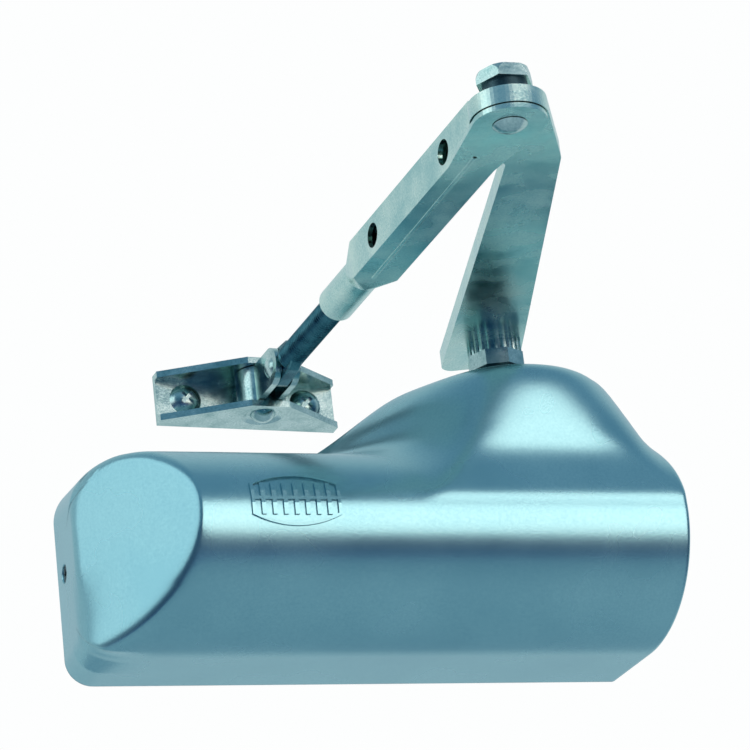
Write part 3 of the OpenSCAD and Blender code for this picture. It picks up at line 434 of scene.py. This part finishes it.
flat = flat_tongue()
rod_tongue = add_mesh("rod_tongue", flat.reshape(-1, 3), tube_faces(*flat.shape[:2]))
close_up(rod_tongue)
rod_tongue.data.shade_flat()
rod_steel = finish_material("oiled zinc rod", "#2f5f6b", "#5b929a", 1.0, (0.22, 0.38), 0.4,
                            5.0, 0.03)
for piece in (rod_thread, rod_tongue):
    piece.data.materials.append(rod_steel)
    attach(piece, "rod")
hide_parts("adjuster_rod")
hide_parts("adjuster_rod")

coat(["elbow_spacer", "adjuster_screw", "spring_seat",
      "piston", "body_screws", "cover_screws", "check_ball", "pinion", "lower_plug",
      "bearing_ring"], dark_steel)

# --- Fold line of the forearm ------------------------------------------------------------------
# The forearm's sheet is folded round, and its edges meet in a fine raised line underneath.
turn = np.linspace(math.pi, 2 * math.pi, 9)[None, :]
u = np.linspace(24.0, 118.0, 60)[:, None]
bead = beside_forearm(u + 0 * turn, -2.2 + 0.011 * (u - 24) + 0.8 * np.cos(turn),
                      80.55 + 0.45 * np.sin(turn))
fold_line = add_mesh("fold_line", bead.reshape(-1, 3), grid_faces(*bead.shape[:2]))
fold_line.data.materials.append(arm_zinc)
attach(fold_line, "forearm")

# --- Closing spring ----------------------------------------------------------------------------
# A coil of round spring steel between its seat and the piston. It shortens as the arm opens.
WIRE_DIAMETER, COIL_DIAMETER, COIL_TURNS = 5.0, 31.0, 8


def coil():
    """Rings of wire carried along a helix: each lies across the helix's own direction, in the
    plane of the outward direction and the one square to both."""
    low, high = (np.array(c) * 1000 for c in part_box("closing_spring"))
    t = np.linspace(0, 1, 60 * COIL_TURNS + 1)[:, None]
    radius = (COIL_DIAMETER - WIRE_DIAMETER) / 2
    length = high[0] - low[0] - WIRE_DIAMETER
    swing = 2 * math.pi * COIL_TURNS * t
    out = np.stack([0 * swing, np.cos(swing), np.sin(swing)], axis=-1)
    along = np.stack([length + 0 * swing, -2 * math.pi * COIL_TURNS * radius * np.sin(swing),
                      2 * math.pi * COIL_TURNS * radius * np.cos(swing)], axis=-1)
    along /= np.linalg.norm(along, axis=-1, keepdims=True)
    square = np.cross(along, out)
    middle = np.stack([low[0] + WIRE_DIAMETER / 2 + length * t,
                       (low[1] + high[1]) / 2 + radius * np.cos(swing),
                       (low[2] + high[2]) / 2 + radius * np.sin(swing)], axis=-1)
    turn = np.linspace(0, 2 * math.pi, 17)[None, :-1, None]
    wire = WIRE_DIAMETER / 2 * 0.98
    return middle + wire * (np.cos(turn) * out + np.sin(turn) * square), low, high


rings, low, high = coil()
spring_coil = add_mesh("spring_coil", rings.reshape(-1, 3), tube_faces(*rings.shape[:2]))
close_up(spring_coil)
spring_coil.data.materials.append(dark_steel)
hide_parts("closing_spring")
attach(spring_coil, "body")
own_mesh(spring_coil)

# --- Body casting, end caps and plate ----------------------------------------------------------
# A cast aluminium cylinder body on a plated steel mounting plate, all under the cover.
cast_body = finish_material("cast aluminium", "#8b9295", "#b3b9bb", 0.9,
                            (0.45, 0.62), 0.9, 20.0, 0.08)
coat(["body_casting", "end_cap_left", "end_cap_right"], cast_body)
coat(["mounting_plate"], bright_zinc)

# --- Bushes and valve screws -------------------------------------------------------------------
# Turned bronze bushes carry the spindle, and brass needle screws set the speed.
bronze = finish_material("turned bronze", "#8a6a3c", "#b89460", 1.0, (0.25, 0.4), 0.4, 8.0, 0.02)
coat(["upper_bush", "lower_bush", "closing_valve", "latching_valve"], bronze)

# --- Seals -------------------------------------------------------------------------------------
# Nitrile rubber rings, moulded, slightly shiny with oil.
nitrile = finish_material("nitrile rubber", "#17181a", "#232527", 0.0, (0.4, 0.55), 0.5, 6.0,
                          0.03)
coat(["piston_ring", "end_cap_seals", "spindle_seal"], nitrile)

# --- Stage -------------------------------------------------------------------------------------
# A pale floor well below, a soft light in front and one at the left, and a white surround
# that is blue-grey where the cover mirrors it.


def stage_sheet(name, centre, across, up, colour, glow):
    """A flat sheet: its centre plus and minus the across and up vectors, in metres."""
    c, a, u = np.array(centre), np.array(across), np.array(up)
    sheet = add_mesh(name, np.array([c - a - u, c + a - u, c + a + u, c - a + u]) * 1000,
                     np.array([[0, 1, 2, 3]]), smooth=False)
    paper = bpy.data.materials.new(name + " paper")
    paper.use_nodes = True
    shader = paper.node_tree.nodes["Principled BSDF"]
    shader.inputs["Base Color"].default_value = paint_colour(colour)
    shader.inputs["Roughness"].default_value = 0.9
    shader.inputs["Emission Color"].default_value = (1, 1, 1, 1)
    shader.inputs["Emission Strength"].default_value = glow
    sheet.data.materials.append(paper)
    return sheet


stage_sheet("floor", (0, 0, -1.5), (2.4, 0, 0), (0, 2.4, 0), "#dde6ea", 0.0)


def soft_light(name, direction, distance, size, power, colour):
    """A square soft light, that far from the object along a direction, facing it."""
    lamp = bpy.data.lights.new(name, "AREA")
    lamp.shape = "RECTANGLE"
    lamp.size, lamp.size_y = size
    lamp.energy = power
    lamp.color = colour
    thing = bpy.data.objects.new(name, lamp)
    d = np.array(direction, float)
    d /= np.linalg.norm(d)
    target = np.array([0.0, -0.05, 0.03])
    thing.location = target + d * distance
    side = np.cross((0, 0, 1), d)
    side /= np.linalg.norm(side)
    up = np.cross(d, side)
    thing.matrix_world = Matrix(((side[0], up[0], d[0], thing.location[0]),
                                 (side[1], up[1], d[1], thing.location[1]),
                                 (side[2], up[2], d[2], thing.location[2]), (0, 0, 0, 1)))
    bpy.context.scene.collection.objects.link(thing)
    return thing


soft_light("front softbox", (0.33, -0.87, 0.11), 1.6, (1.5, 0.92), 11.5, (1.0, 0.84, 0.75))
soft_light("left softbox", (-0.92, -0.20, 0.30), 1.6, (0.9, 0.9), 2.9, (0.97, 1.0, 0.97))

room = bpy.context.scene.world or bpy.data.worlds.new("room")
bpy.context.scene.world = room
room.use_nodes = True
sight = add_node(room, "ShaderNodeTexCoord").outputs["Generated"]
ways = add_node(room, "ShaderNodeSeparateXYZ", Vector=sight)
rise = add_node(room, "ShaderNodeMapRange", Value=ways.outputs["Z"], From_Min=-1.0)
shade = add_node(room, "ShaderNodeValToRGB", Fac=rise.outputs["Result"])
stops = shade.color_ramp.elements
stops[0].position, stops[0].color = 0.0, paint_colour("#4f80c4")
stops[1].position, stops[1].color = 1.0, paint_colour("#7d9fb8")
for position, code in ((0.20, "#4c7cc2"), (0.28, "#1f4878"), (0.40, "#0d2f55"),
                       (0.60, "#41708e"), (0.74, "#6a94b0")):
    stop = stops.new(position)
    stop.color = paint_colour(code)
front_share = add_node(room, "ShaderNodeMapRange", Value=ways.outputs["Y"],
                       From_Min=0.35, From_Max=-0.25)
around = add_node(room, "ShaderNodeMix", {"data_type": "RGBA"},
                  Factor=front_share.outputs["Result"])
around.inputs[6].default_value = paint_colour("#ccd9e0")
room.node_tree.links.new(shade.outputs["Color"], around.inputs[7])
seen = add_node(room, "ShaderNodeMix", {"data_type": "RGBA"},
                Factor=add_node(room, "ShaderNodeLightPath").outputs["Is Camera Ray"])
room.node_tree.links.new(around.outputs[2], seen.inputs[6])
seen.inputs[7].default_value = paint_colour("#fdfefe")
room.node_tree.links.new(seen.outputs[2], room.node_tree.nodes["Background"].inputs["Color"])

camera = bpy.data.cameras.new("camera")
camera.lens, camera.sensor_width = 179.9, 36.0
camera.clip_start, camera.clip_end = 0.01, 50
camera_object = bpy.data.objects.new("camera", camera)
camera_object.matrix_world = Matrix(((0.95266, -0.01637, -0.30358, -0.40135),
                                     (-0.28425, -0.40222, -0.87030, -1.21901),
                                     (-0.10786, 0.91540, -0.38784, -0.45995), (0, 0, 0, 1)))
bpy.context.scene.collection.objects.link(camera_object)
bpy.context.scene.camera = camera_object
bpy.context.scene.view_settings.view_transform = "Standard"
